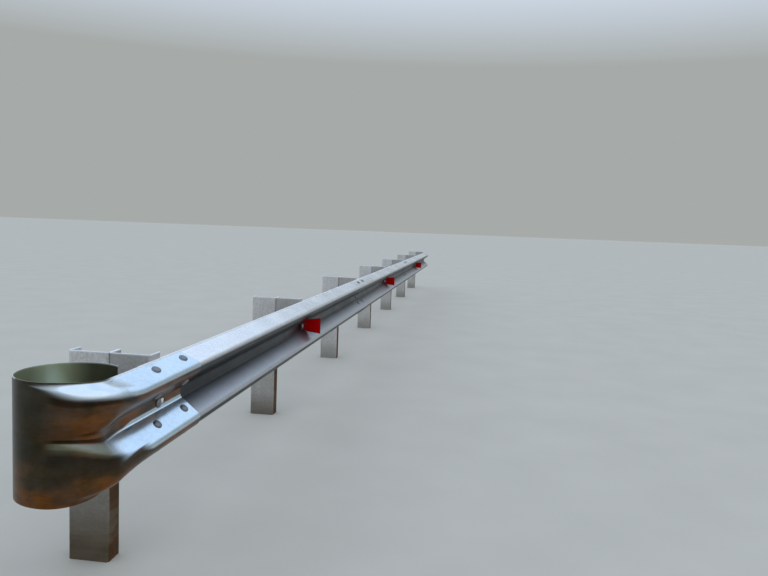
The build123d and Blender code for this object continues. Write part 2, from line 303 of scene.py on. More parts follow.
def zinc(name):
    # Slow patches blend the pale and the dull zinc, crystals a few millimetres across vary each patch, and faint
    # streaks run down. A dark film lies where the attribute of dirt and shade says, in faint level bands: road dirt,
    # and on the beams and the terminal also painted shade and painted reflection of the ground. It is rusty in
    # blotches where the rust one says and of its own colour where the inside one says, on the terminal a painted
    # greenish reflection. Painted dark reflection lines lie where their attribute says, and painted white
    # highlights where theirs says. Bump is slow waves and grain.
    # The ranges given to spread() are those that each noise keeps to, about 0.3 to 0.7.
    look = zincLooks[name]
    material, tree, place = newMaterial(name)
    patches, streaks, dirtNoise, bands, blotches, waves = (
        noise(tree, place, *zincShared[key]) for key in ("patches", "streaks", "dirt", "bands", "blotches", "waves"))
    grimeAndShade, rusty, inside, darkReflection, paintedHighlight = (
        attribute(tree, key) for key in ("grimeAndShade", "rust", "inside", "darkReflection", "paintedHighlight"))
    crystals = node(tree, "TexVoronoi", {"Vector": place, "Scale": 1 / look["spangle"]})
    crystalTone = node(tree, "SeparateColor", {"Color": crystals.outputs["Color"]}).outputs["Red"]
    shade = sums(tree, "ADD", spread(tree, patches, 0.32, 0.68, 0, 1 - look["streak"]),
                 spread(tree, streaks, 0.35, 0.7, 0, look["streak"]))
    zincColour = mixColour(tree, shade, look["dull"], look["pale"])
    tone = spread(tree, crystalTone, 0, 1, 1 - look["spangleShare"], 1 + look["spangleShare"])
    zincColour = toned(tree, zincColour, tone)
    dirt = sums(tree, "MULTIPLY", grimeAndShade, spread(tree, dirtNoise, 0.30, 0.60, look["patchy"], 1.0))
    rust = sums(tree, "MULTIPLY", rusty, spread(tree, blotches, 0.42, 0.62, zincShared["leastRust"], 1.0))
    filmAndShadeColour = mixColour(tree, rust, look["film"], look["rust"])
    filmAndShadeColour = toned(tree, filmAndShadeColour, spread(tree, bands, 0.36, 0.64, *zincShared["bandTone"]))
    filmAndShadeColour = mixColour(tree, inside, filmAndShadeColour, look["insideFilmAndReflection"])
    colour = mixColour(tree, dirt, zincColour, filmAndShadeColour)
    colour = toned(tree, colour, spread(tree, darkReflection, 0, 1, 1.0, zincShared["darkReflectionTone"]))
    colour = mixColour(tree, paintedHighlight, colour, zincShared["whiteHighlight"])
    rough = spread(tree, patches, 0.3, 0.7, look["roughLow"], look["roughHigh"])
    rough = sums(tree, "ADD", rough, sums(tree, "MULTIPLY", dirt, look["filmRough"]))
    metal = spread(tree, dirt, 0, 1, look["metal"], look["filmMetal"])
    metal = sums(tree, "MULTIPLY", metal, spread(tree, paintedHighlight, 0, 1, 1, 0))
    gain = zincShared["bumpGain"]
    bump = bumped(tree, waves, look["wave"] * gain)
    if look["grain"]:
        bump = bumped(tree, noise(tree, place, *zincShared["grain"]), look["grain"] * gain, under=bump)
    finishMaterial(tree, {"Base Color": colour, "Metallic": metal, "Roughness": rough,
                          "Specular IOR Level": look["gloss"], "Normal": bump})
    return material


terminalZinc, beamZinc, channelZinc, boltZinc = (zinc(name) for name in zincLooks)


reflectorLooks = {
    "bracketPaint": {"base": (0.11, 0.009, 0.010, 1), "worn": (0.34, 0.24, 0.23, 1), "patches": 60.0,
                     "speckle": 700.0, "speckleDepth": 0.0003, "roughLow": 0.34, "roughHigh": 0.54},
    "redSheeting": {"base": (0.55, 0.0005, 0.0015, 1), "dim": (0.33, 0.0005, 0.001, 1), "cell": 0.0042,
                    "cellDepth": 0.0002, "rough": 0.30, "gloss": 0.06},
}


def bracketPaint():
    # dark red paint over steel, chalky in patches; its darkness is partly painted shade, for the leg seen in shade
    look = reflectorLooks["bracketPaint"]
    material, tree, place = newMaterial("bracketPaint")
    patches = noise(tree, place, look["patches"], 5.0, 0.6)
    colour = mixColour(tree, spread(tree, patches, 0.60, 0.72), look["base"], look["worn"])
    rough = spread(tree, patches, 0.3, 0.7, look["roughLow"], look["roughHigh"])
    bump = bumped(tree, noise(tree, place, look["speckle"], 2.0, 0.5), look["speckleDepth"], 0.6)
    finishMaterial(tree, {"Base Color": colour, "Roughness": rough, "Normal": bump})
    return material


def redSheeting():
    # retroreflective sheeting: small bright cells in a darker net
    look = reflectorLooks["redSheeting"]
    material, tree, place = newMaterial("redSheeting")
    flat = node(tree, "Mapping", {"Vector": place, "Scale": (0, 1, 1)}).outputs["Vector"]
    cells = node(tree, "TexVoronoi", {"Vector": flat, "Scale": 1 / look["cell"], "Randomness": 0.15})
    toNet = cells.outputs["Distance"]
    colour = mixColour(tree, spread(tree, toNet, 0.30, 0.55), look["base"], look["dim"])
    bump = bumped(tree, toNet, look["cellDepth"], 0.5)
    finishMaterial(tree, {"Base Color": colour, "Roughness": look["rough"], "Specular IOR Level": look["gloss"],
                          "Normal": bump})
    return material


print("materials made")


# W-beam section

wBeam = {
    "sheet": 0.003, "height": 0.312, "depth": 0.083,
    "crestHeight": 0.097, "crestRadius": 0.0255, "lipRadius": 0.0095,
    "innerSlope": 51, "outerSlope": 67,  # degrees from upright
    "bendStep": 0.0033, "flatStep": 0.03, "alongStep": 0.09, "edge": 0.0006,
    "slopeRuns": (2, 4, 8, 10), "valleyRun": 6,  # pieces of the section, counted from the upper lip
    # painted shade and reflection by a face's direction, then by v the painted valley shade and the painted lip
    # highlight
    "litAbove": 0.50, "shadedBelow": -0.10,  # upward parts of a face's direction
    "valleyFrom": 5.0, "valleyTo": 7.8, "valleyShadeEnd": 10.4, "lipEnd": 1.8, "lipFade": 0.5,  # by v
}


def withLowerHalf(half):
    # the lower half repeats the upper one upside down, with its bends read the other way round
    lower = half[..., ::-1, :][..., [0, 1, 3, 2]] * np.array([1, -1, 1, 1])
    return np.concatenate([half, lower], axis=-2)


def wCorners():
    # from the upper lip to the lower one; the crest corner is where the two slopes would meet
    inner, outer = math.radians(wBeam["innerSlope"]), math.radians(wBeam["outerSlope"])
    halfTurn, lean = (inner + outer) / 2, (outer - inner) / 2
    back, radius = wBeam["sheet"] / 2, wBeam["crestRadius"]
    reach = radius / math.cos(halfTurn)
    crestOut = wBeam["depth"] - back - radius + reach * math.cos(lean)
    crestUp = wBeam["crestHeight"] + reach * math.sin(lean)
    valleyUp = crestUp - (crestOut - back) / math.tan(inner)
    lipUp = crestUp + (crestOut - back) / math.tan(outer)
    lipBend = wBeam["lipRadius"] * math.tan(outer / 2)
    crestBend, valleyBend = radius * math.tan(halfTurn), radius * math.tan(inner / 2)
    half = [[back, wBeam["height"] / 2, 0, 0], [back, lipUp, lipBend, lipBend],
            [crestOut, crestUp, crestBend, crestBend], [back, valleyUp, valleyBend, valleyBend]]
    return withLowerHalf(np.array(half))


fullW = wCorners()
wTable = sectionTable(fullW)
pieceEnds = np.interp(np.arange(2 * len(fullW) - 2), *wTable)    # where the runs and bends of the W end

spliceSlot = {"length": 0.029, "width": 0.023, "windowU": 0.020, "windowA": 0.017, "cellsU": 8, "cellsA": 6}
postSlot = {"length": 0.063, "width": 0.019, "windowU": 0.038, "windowA": 0.014, "cellsU": 12, "cellsA": 6}
splice = {"halfPitch": 0.108, "lap": 0.320, "flare": 0.080, "pitch": 4.0, "boltLine": 0.048, "slotShift": 0.024}
firstSplice = splice["boltLine"] + splice["slotShift"]


def runMiddle(piece):
    return (pieceEnds[piece] + pieceEnds[piece + 1]) / 2


def wLines(step):
    # cross lines of the W: fine round its bends, and even in the windows of its slots
    windows = [(runMiddle(k), spliceSlot["windowA"], spliceSlot["cellsA"]) for k in wBeam["slopeRuns"]]
    windows.append((runMiddle(wBeam["valleyRun"]), postSlot["windowA"], postSlot["cellsA"]))
    for k in range(1, len(pieceEnds) - 1, 2):
        length = pieceEnds[k + 1] - pieceEnds[k]
        windows.append((runMiddle(k), length / 2, math.ceil(length / wBeam["bendStep"])))
    return gridLines(0, pieceEnds[-1], step, windows)


def slotsAt(spliceMiddles, postMiddles):
    # the slots of whole splices and of post bolts, by their distance along the sheet
    found = []
    for middle in spliceMiddles:
        for side in (-1, 1):
            for k in wBeam["slopeRuns"]:
                found.append({**spliceSlot, "u": middle + side * splice["halfPitch"], "a": runMiddle(k)})
    for middle in postMiddles:
        found.append({**postSlot, "u": middle, "a": runMiddle(wBeam["valleyRun"])})
    return found


def slotWindows(slots):
    return sorted({(round(s["u"], 6), s["windowU"], s["cellsU"]) for s in slots})


slight = 1e-4  # step for slopes of a surface


def upwardPart(alongFirst, alongSecond):
    # the upward part of the direction that is square to both
    normal = np.cross(alongFirst, alongSecond)
    return normal[:, 2] / np.linalg.norm(normal, axis=1)


def paintedShadeOfFaces(upward, litAbove, shadedBelow):
    # Painted shade and reflection: faces that look up stay bright, and the others get the dark film. It grows as
    # the upward part of the face's direction falls from one limit to the other; the back of the sheet looks the other
    # way.
    return [ease((litAbove - side * upward) / (litAbove - shadedBelow)) for side in (1, -1)]


def lipHighlight(v):
    # a painted white highlight along the upper lip
    return ease((wBeam["lipEnd"] - v) / wBeam["lipFade"])


def sheetDirtAndPaintedLight(front, back, rust, paintedHighlight, greenReflection=0.0, inside=1.0, darkReflection=0.0):
    # the next two are the shares of the film of sheltered places on the front and on the back, which on the terminal
    # is a painted greenish reflection; the last is painted dark reflection lines on the front
    return {"grimeAndShade": np.concatenate([front, back]), "rust": np.tile(rust, 2), "paintedHighlight": np.tile(paintedHighlight, 2),
            "inside": np.concatenate([greenReflection + 0 * front, inside + 0 * back]),
            "darkReflection": np.concatenate([darkReflection + 0 * front, 0 * back])}


def makeBeam(number):
    # the W carried along X; the far end opens by a sheet's thickness to nest outside the next beam
    start = firstSplice + (number - 1) * splice["pitch"] - splice["lap"] / 2
    length = splice["pitch"] + splice["lap"]
    middles = [length - splice["lap"] / 2 - offset for offset in (0, splice["pitch"])]
    slots = slotsAt(middles, [middles[0], middles[0] - bayLength, middles[1]])
    u = gridLines(0, length, wBeam["alongStep"], slotWindows(slots))
    grid, quads = slottedGrid(u, wLines(wBeam["flatStep"]), slots)
    along, v = grid[:, 0], np.interp(grid[:, 1], wTable[1], wTable[0])
    opened = 0 if number == beamCount else wBeam["sheet"]
    lift = opened * (1 - np.clip((along - splice["lap"]) / splice["flare"], 0, 1))
    skins = []
    for face in (0.5, -0.5):
        out, up = sheetPoints(fullW, lift + face * wBeam["sheet"], v).T
        skins.append(np.stack([start + length - along, backPlane - out, railMiddle + up], 1))
    rise = sheetPoints(fullW, 0, v + slight) - sheetPoints(fullW, 0, v - slight)
    upward = rise[:, 0] / np.hypot(*rise.T)
    front, back = paintedShadeOfFaces(upward, wBeam["litAbove"], wBeam["shadedBelow"])
    # painted shade fills the valley and thins out up the slope below it, and the upper lip has a painted white
    # highlight
    valleyShade = (v > wBeam["valleyFrom"]) * ease((wBeam["valleyShadeEnd"] - v) / (wBeam["valleyShadeEnd"] - wBeam["valleyTo"]))
    piece = makeMesh(f"wBeam{number}", np.concatenate(skins), closeSheet(quads, len(grid)), beamZinc,
                     sheetDirtAndPaintedLight(np.maximum(front, valleyShade), back, np.zeros(len(v)), lipHighlight(v)))
    softenEdges(piece, wBeam["edge"])
    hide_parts(f"beam_{number}")


for number in range(1, beamCount + 1):
    makeBeam(number)
print("beams made")


# Terminal

terminal = {
    "plateHalf": 0.180, "plateStand": 0.050, "curlRadius": 0.150, "curlTurn": 306, "curlStart": -0.325,
    "fadeStart": -0.140, "fadeEnd": 0.300, "fadePower": 1.2, "rimStart": -0.115, "rimEnd": 0.223,
    "riseStart": 0.020, "riseEnd": 0.200, "valleyRise": 0.018,
    "rimCornerUp": 0.172, "crestMidUp": 0.136, "crestEndUp": 0.167, "valleyEndUp": 0.006, "climbStart": 0.6,
    "shoulderStart": 0.55, "shoulderEndUp": 0.016, "shoulderLift": 0.38, "slideShare": 0.65, "liftShare": 0.5,
    "shoulderBend": 0.012, "slopeShare": 0.45, "valleyShare": 0.85, "crestShare": 0.75, "shoulderShare": 0.2,
    "step": 0.05, "fineStart": -0.19, "fineStep": 0.005, "lineStep": 0.0045,
    # painted light: the two limits bound the painted shade and reflection by a face's direction; the haze and the
    # crest darkening are painted dark reflection, the lines given by v painted dark reflection lines, the greenish
    # part a painted reflection, the white and the far rim painted highlights, and the tail's darkening painted shade
    "litAbove": (0.25, 0.66), "shadedBelow": (0.02, 0.42),  # elsewhere, and where the lower half fades
    "lowerHalf": 8.5, "lowerFrom": -0.19, "lowerFade": 0.08, "haze": 0.95, "hazeFrom": -0.03, "hazeFade": 0.07,
    "crestDarkReflection": 12.45, "crestFade": 0.55, "endAt": 0.23, "endFade": 0.05, "darkReflectionFrom": -0.10, "darkReflectionFade": 0.08,
    "darkReflections": ((0.4, 1.1, 0.8), (3.66, 0.2, 0.8), (9.2, 0.75, 0.9), (12.2, 0.3, 0.6)),    # v, half width, depth
    "greenReflection": 0.24, "greenFrom": 9.8, "greenRise": 0.4, "greenTo": 12.0, "greenFall": 0.3,
    "rustBefore": 0.26, "rustFade": 0.20, "rustBelow": -0.07, "rustDepth": 0.08,
    "whiteHighlight": 0.40, "whiteHighlightFrom": -0.05, "whiteHighlightFade": 0.10, "farRim": 0.33, "rimHighlight": 0.6,
    "tailFrom": 0.60, "tailFade": 0.10, "tailShade": 0.85,
}


def terminalCorners(s):
    # The W fades into a taller plain plate. Its depth falls off as a power of half a cosine wave, its crests climb
    # to the rim in two eased steps, and its lips move out and up to the plate's rim. A shoulder parts each inner
    # slope into a steep foot and a flatter top: it slides down the slope and is lifted towards the crest.
    rim = ease((s - terminal["rimStart"]) / (terminal["rimEnd"] - terminal["rimStart"]))
    t = np.clip((s - terminal["fadeStart"]) / (terminal["fadeEnd"] - terminal["fadeStart"]), 0, 1)
    depth = ((1 + np.cos(math.pi * t)) / 2) ** terminal["fadePower"]
    lip, crest, valley = fullW[1], fullW[2], fullW[3]
    crestOut = between(terminal["plateStand"], crest[0], depth)
    crestUp = between(crest[1], terminal["crestMidUp"], ease(2 * t))
    climb = ease((t - terminal["climbStart"]) / (1 - terminal["climbStart"]))
    crestUp = between(crestUp, terminal["crestEndUp"], climb)
    edgeOut = between(lip[0], terminal["plateStand"], rim)
    lipUp = between(lip[1], terminal["rimCornerUp"], rim)
    valleyUp = between(valley[1], terminal["valleyEndUp"], rim)
    shareEnd = terminal["shoulderEndUp"] / (crestUp - valleyUp)
    share = between(terminal["shoulderStart"], shareEnd, ease(t / terminal["slideShare"]))
    shoulderUp = between(valleyUp, crestUp, share)
    shoulderOut = between(edgeOut, crestOut, share)
    shoulderOut = between(shoulderOut, crestOut, terminal["shoulderLift"] * ease(t / terminal["liftShare"]))
    outer = terminal["slopeShare"] * np.hypot(crestOut - edgeOut, lipUp - crestUp)
    top = np.hypot(crestOut - shoulderOut, crestUp - shoulderUp)
    foot = terminal["slopeShare"] * np.hypot(shoulderOut - edgeOut, shoulderUp - valleyUp)
    lipBend, crestBend = np.minimum(lip[2], outer), np.minimum(crest[2], outer)
    crestAfter = np.minimum(crest[2], terminal["crestShare"] * top)
    shoulderBend = np.minimum(np.minimum(terminal["shoulderBend"], foot), terminal["shoulderShare"] * top)
    valleyBend = np.minimum(np.minimum(valley[2], terminal["valleyShare"] * valleyUp), foot)
    zero = np.zeros_like(s)
    rows = [(edgeOut, between(wBeam["height"] / 2, terminal["plateHalf"], rim), zero, zero),
            (edgeOut, lipUp, lipBend, lipBend),
            (crestOut, crestUp, crestBend, crestAfter),
            (shoulderOut, shoulderUp, shoulderBend, shoulderBend),
            (edgeOut, valleyUp, valleyBend, valleyBend)]
    corners = withLowerHalf(np.stack([np.stack(row, -1) for row in rows], 1))
    rise = terminal["valleyRise"] * ease((s - terminal["riseStart"]) / (terminal["riseEnd"] - terminal["riseStart"]))
    corners[:, 3:7, 1] += rise[:, None]
    return corners


def terminalPoints(s, v, lift):
    # the section carried along a straight line, then round the curl, by the distance s from the curl's start
    out, up = sheetPoints(terminalCorners(s), lift, v).T
    planRadius = terminal["curlRadius"] - terminal["plateStand"] - 1.5 * wBeam["sheet"]
    turn = np.maximum(s, 0) / terminal["curlRadius"]
    reach = planRadius + out
    x = terminal["curlStart"] - np.minimum(s, 0) - reach * np.sin(turn)
    y = backPlane + planRadius - reach * np.cos(turn)
    return np.stack([x, y, railMiddle + up], 1)


def makeTerminal():
    # one sheet from the first splice to the end of the curl, outside the first beam and fine where it changes
    start = terminal["curlStart"] - firstSplice - splice["lap"] / 2
    end = math.radians(terminal["curlTurn"]) * terminal["curlRadius"]
    table = sectionTable(terminalCorners(np.array([start]))[0])
    slots = slotsAt([terminal["curlStart"] - firstSplice], [terminal["curlStart"] - firstSplice])
    fineMiddle, fineHalf = (terminal["fineStart"] + end) / 2, (end - terminal["fineStart"]) / 2
    fine = (fineMiddle, fineHalf, math.ceil(2 * fineHalf / terminal["fineStep"]))
    u = gridLines(start, end, terminal["step"], slotWindows(slots) + [fine])
    grid, quads = slottedGrid(u, wLines(terminal["lineStep"]), slots)
    s, v = grid[:, 0], np.interp(grid[:, 1], table[1], table[0])
    front, back = (terminalPoints(s, v, face * wBeam["sheet"]) for face in (1.5, 0.5))
    upward = upwardPart(terminalPoints(s + slight, v, 0) - terminalPoints(s - slight, v, 0),
                        terminalPoints(s, v + slight, 0) - terminalPoints(s, v - slight, 0))
    # painted reflection: where the lower half fades, only its flatter faces stay bright, and its crest and its end
    # are dark, the end with a painted greenish reflection; the end of the upper half has a painted white highlight;
    # the far rim has a painted highlight and the tail painted shade inside
    lower = (v > terminal["lowerHalf"]) * ease((s - terminal["lowerFrom"]) / terminal["lowerFade"])
    outside, inside = paintedShadeOfFaces(upward, *(between(*terminal[key], lower) for key in ("litAbove", "shadedBelow")))
    # painted dark reflection: the end of the lower half and its crest are darkened
    hazy = lower * ease((s - terminal["hazeFrom"]) / terminal["hazeFade"])
    crestDarkReflection = lower * ease((v - terminal["crestDarkReflection"]) / terminal["crestFade"])
    ending = ease((terminal["endAt"] - s) / terminal["endFade"])
    # a painted greenish reflection near the end of the lower half
    greenReflection = hazy * ending * ease((v - terminal["greenFrom"]) / terminal["greenRise"])
    greenReflection *= ease((terminal["greenTo"] - v) / terminal["greenFall"])
    # a painted dark reflection line is darkest over the middle half of its width
    darkReflection = sum(depth * ease(2 - 2 * np.abs(v - middle) / half) for middle, half, depth in terminal["darkReflections"])
    darkReflection *= ending * ease((s - terminal["darkReflectionFrom"]) / terminal["darkReflectionFade"])
    # a painted white highlight on the faces of the upper half that look up, near and round the curl
    highlighted = terminal["whiteHighlight"] * (v < terminal["lowerHalf"]) * (1 - outside)
    highlighted *= ease((s - terminal["whiteHighlightFrom"]) / terminal["whiteHighlightFade"])
    outside = np.maximum.reduce([outside, terminal["haze"] * hazy, crestDarkReflection])
    # rust lies before the curl and low on the plate, and not under the painted greenish reflection
    rust = np.maximum(ease((terminal["rustBefore"] - s) / terminal["rustFade"]),
                      ease((terminal["rustBelow"] - front[:, 2] + railMiddle) / terminal["rustDepth"]))
    rust *= 1 - greenReflection
    lip = lipHighlight(v) * ease(-s / terminal["lowerFade"])
    # a painted highlight along the far rim
    farRim = terminal["rimHighlight"] * (v < slight) * (s > terminal["farRim"])
    # painted shade: the inside of the curl's tail takes the dark film instead of its sheltered colour
    tail = 1 - terminal["tailShade"] * ease((s - terminal["tailFrom"]) / terminal["tailFade"])
    dirt = sheetDirtAndPaintedLight(outside, inside, rust, np.maximum.reduce([farRim, lip, highlighted]),
                     terminal["greenReflection"] * greenReflection, tail, darkReflection)
    piece = makeMesh("terminalEnd", np.concatenate([front, back]), closeSheet(quads, len(grid)), terminalZinc,
                     dirt)
    softenEdges(piece, wBeam["edge"])
    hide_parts("terminal_end")


makeTerminal()
print("terminal made")


# Posts and block-outs

channel = {
    "web": 0.150, "flange": 0.075, "thick": 0.005, "bend": 0.010, "hole": 0.018,
    "blockHeight": 0.350, "boltRise": 0.075, "bendCells": 8, "step": 0.08, "acrossStep": 0.02,
    # the last value on the next line is a painted highlight along the top
    "window": 0.014, "windowCells": 6, "edge": 0.0008, "topEdge": 0.006, "topHighlight": 0.9,
    "splash": 0.35, "splashFrom": 0.01, "splashFade": 0.16,
    # the flange's dark brown is painted shade, partly rust and road dirt
    "brownFrom": 3.5, "brownFade": 0.5, "brown": 3,  # by v, and so much rust that no gaps are left
    "postHaze": ((1.05, 0.0), (0.55, 0.0), (0.25, 0.0)), "blockHaze": (0.45, 0.9),  # post 0, post 1, the others
}


def channelCorners():
    # plan of a channel, middle of its sheet: from the end of the far flange to the end of the traffic-side one
    end, half = channel["flange"] - channel["thick"] / 2, (channel["web"] - channel["thick"]) / 2
    bend = channel["bend"] - channel["thick"] / 2
    return np.array([[end, half, 0, 0], [0, half, bend, bend], [0, -half, bend, bend], [end, -half, 0, 0]])


def makeChannel(name, cadNode, x, y, low, high, holes, haze):
    # the plan carried upwards; holes are (which flange, height), drilled on the bolt line; haze is how much darker it
    # is at its foot and the share of that left at the top
    plan = channelCorners()
    v, along = sectionTable(plan)
    ends = np.interp(np.arange(2 * len(plan) - 2), v, along)
    toHole = channel["flange"] - channel["thick"] / 2 - splice["boltLine"]
    places = {"far": toHole, "near": ends[-1] - toHole}
    cuts = [roundHole(height, places[flange], channel["hole"], channel["window"]) for flange, height in holes]
    windowsU = [(c["u"], channel["window"], channel["windowCells"]) for c in cuts]
    windowsA = sorted({(c["a"], channel["window"], channel["windowCells"]) for c in cuts})
    for k in (1, 3):  # its two bends
        windowsA.append(((ends[k] + ends[k + 1]) / 2, (ends[k + 1] - ends[k]) / 2, channel["bendCells"]))
    windowsU.append((high - channel["topEdge"] / 2, channel["topEdge"] / 2, 1))
    u = gridLines(low, high, channel["step"], windowsU)
    grid, quads = slottedGrid(u, gridLines(0, ends[-1], channel["acrossStep"], windowsA), cuts)
    param = np.interp(grid[:, 1], along, v)
    skins = []
    for face in (0.5, -0.5):
        across, depth = sheetPoints(plan, face * channel["thick"], param).T
        skins.append(np.stack([x + across, y + depth, grid[:, 0]], 1))
    # splashed near the ground; on a post the flange that faces the road is dark brown all over, painted shade and
    # partly rust and road dirt; a painted highlight along the top
    height = (grid[:, 0] - low) / (high - low)
    splash = channel["splash"] * (1 - ease((grid[:, 0] - channel["splashFrom"]) / channel["splashFade"]))
    splash += haze[0] * between(1, haze[1], height)
    flange = (low == 0) * ease((param - channel["brownFrom"]) / channel["brownFade"])
    top = channel["topHighlight"] * (grid[:, 0] > high - slight)
    dirt = {"grimeAndShade": np.clip(np.concatenate([splash, np.maximum(splash, flange)]), 0, 1),
            "rust": np.concatenate([0 * flange, channel["brown"] * flange]), "paintedHighlight": np.tile(top, 2)}
    piece = makeMesh(name, np.concatenate(skins), closeSheet(quads, len(grid)), channelZinc, dirt)
    softenEdges(piece, channel["edge"])
    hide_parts(cadNode)


boltHeights = [railMiddle - channel["boltRise"], railMiddle + channel["boltRise"]]
blockLow = groundToTop - channel["blockHeight"]
for n in range(postCount):
    x = n * bayLength
    makeChannel(f"channelPost{n}", f"post_{n}", x, 0, 0, groundToTop,
                [("near", height) for height in boltHeights], channel["postHaze"][min(n, 2)])
    makeChannel(f"channelBlockOut{n}", f"block_out_{n}", x, -channel["web"], blockLow, groundToTop,
                [("far", height) for height in boltHeights] + [("near", railMiddle)], channel["blockHaze"])
print("posts and block-outs made")


# Bolts

bolts = {
    "shank": 0.016, "shankEnd": 0.006, "shankBevel": 0.0015,
    "acrossFlats": 0.024, "nutHeight": 0.013, "headHeight": 0.010, "chamfer": 0.0016, "faceShare": 0.96,
    "washer": 0.030, "washerThick": 0.003, "washerFoot": 0.0003, "washerTop": 0.0004,
    "buttonWidth": 0.033, "buttonHeight": 0.0085, "buttonSide": 0.0016, "buttonFlat": 0.0015, "domeRings": 8,
    "sides": 24, "edge": 0.0004, "edgeAngle": 35, "grimeAndShade": 0.25,
    "postShift": 0.001, "bracketThick": 0.002,  # of the post bolts off the bolt line; of a reflector's bracket
}


def turned(profile, sides, flats=None):
    # a profile of (radius, height) turned about its height axis and closed on it at both ends; with flats, the
    # radius is cut back to a hexagon of that width
    radius, height = np.array(profile, float).T
    angle = np.arange(sides) / sides * 2 * math.pi
    wide = np.repeat(radius[:, None], sides, 1)
    if flats:
        fromFlat = (angle + math.pi / 6) % (math.pi / 3) - math.pi / 6
        wide = np.minimum(wide, flats / 2 / np.cos(fromFlat))
    ring = np.stack([wide * np.cos(angle), wide * np.sin(angle), np.repeat(height[:, None], sides, 1)], -1)
    index = np.arange(ring[..., 0].size).reshape(len(radius), sides)
    onward = np.roll(index, -1, axis=1)
    quads = np.stack([index[:-1], onward[:-1], onward[1:], index[1:]], -1).reshape(-1, 4)
    foot, top = index.size, index.size + 1
    fans = [(foot, b, a) for a, b in zip(index[0], onward[0])] + [(top, a, b) for a, b in zip(index[-1], onward[-1])]
    points = np.concatenate([ring.reshape(-1, 3), [[0, 0, height[0]], [0, 0, height[-1]]]])
    return points, [list(map(int, q)) for q in quads.tolist() + fans]


def hexProfile(height, chamferBoth):
    # a hexagon's corners are cut by a shallow cone at its outer face, and at its inner one on a nut
    corner = bolts["acrossFlats"] / math.sqrt(3)
    flat = bolts["acrossFlats"] / 2 * bolts["faceShare"]
    low = [(flat, 0), (corner, bolts["chamfer"])] if chamferBoth else [(corner, 0)]
    return low + [(corner, height - bolts["chamfer"]), (flat, height)]


def buttonHead():
    # a round head whose side stands a little way up before it domes over
    rim, height, side = bolts["buttonWidth"] / 2, bolts["buttonHeight"], bolts["buttonSide"]
    turn = np.arange(bolts["domeRings"]) / bolts["domeRings"] * math.pi / 2
    dome = np.stack([rim * np.cos(turn), side + (height - side) * np.sin(turn)], 1)
    return turned([(rim, 0)] + dome.tolist() + [(bolts["buttonFlat"], height)], bolts["sides"])


def joined(shapes):
    # several shapes as one; a shape is its points and its faces
    points, faces, count = [], [], 0
    for some, corners in shapes:
        points.append(some)
        faces += [[i + count for i in face] for face in corners]
        count += len(some)
    return np.concatenate(points), faces


def onWasher(shapes):
    # a washer with its edges cut, and the shapes that stand on it
    half, thick = bolts["washer"] / 2, bolts["washerThick"]
    foot, top = bolts["washerFoot"], bolts["washerTop"]
    washer = turned([(half - foot, 0), (half, foot), (half, thick - top), (half - top, thick)], bolts["sides"])
    return joined([washer] + [(points + (0, 0, thick), faces) for points, faces in shapes])


def nutSet():
    # washer, nut and the end of the shank, standing on the face that they clamp
    nut = turned(hexProfile(bolts["nutHeight"], True), bolts["sides"], bolts["acrossFlats"])
    shank, reach, cut = bolts["shank"] / 2, bolts["nutHeight"] + bolts["shankEnd"], bolts["shankBevel"]
    end = turned([(shank, 0), (shank, reach - cut), (shank - cut, reach)], bolts["sides"])
    return onWasher([nut, end])


def hexHead():
    return onWasher([turned(hexProfile(bolts["headHeight"], False), bolts["sides"], bolts["acrossFlats"])])


def placeShapes(shape, places, normals, turns):
    # copies of one shape, each standing at its place along its normal and turned about it
    normals = np.asarray(normals, float)
    turns = np.asarray(turns, float)[:, None]
    flat = np.tile([1.0, 0, 0], (len(normals), 1))
    other = np.cross(normals, flat)
    first = np.cos(turns) * flat + np.sin(turns) * other
    second = np.cross(normals, first)
    axes = np.stack([first, second, normals], 1)
    points = np.asarray(places)[:, None] + np.einsum("vi,nij->nvj", shape[0], axes)
    faces = [[i + k * len(shape[0]) for i in face] for k in range(len(points)) for face in shape[1]]
    return points.reshape(-1, 3), faces


def makeBolts(name, groups):
    # one mesh of all the copies; a group is a shape with its places, normals and turns
    points, faces = joined([placeShapes(*group) for group in groups])
    grimeAndShade = np.full(len(points), bolts["grimeAndShade"])
    piece = makeMesh(name, points, faces, boltZinc, {"grimeAndShade": grimeAndShade})
    softenEdges(piece, bolts["edge"], 1, bolts["edgeAngle"])


chance = np.random.default_rng(7)  # turns of the bolts


def spliceBolts():
    # eight to a splice, square to the four slopes of the W: heads outside, nuts behind
    heads, backs, normals = [], [], []
    middleOfRuns = np.array(wBeam["slopeRuns"]) + 0.5
    front, back = (sheetPoints(fullW, sheets * wBeam["sheet"], middleOfRuns) for sheets in (1.5, -0.5))
    for middle in firstSplice + splice["pitch"] * np.arange(beamCount):
        for x in (middle - splice["halfPitch"], middle + splice["halfPitch"]):
            for seat, behind in zip(front, back):
                away = (seat - behind) / np.linalg.norm(seat - behind)
                heads.append((x, backPlane - seat[0], railMiddle + seat[1]))
                backs.append((x, backPlane - behind[0], railMiddle + behind[1]))
                normals.append((0, -away[0], away[1]))
    normals = np.array(normals)
    turns = chance.uniform(0, math.pi, len(heads))
    makeBolts("spliceBolts", [(buttonHead(), heads, normals, turns), (nutSet(), backs, -normals, turns)])


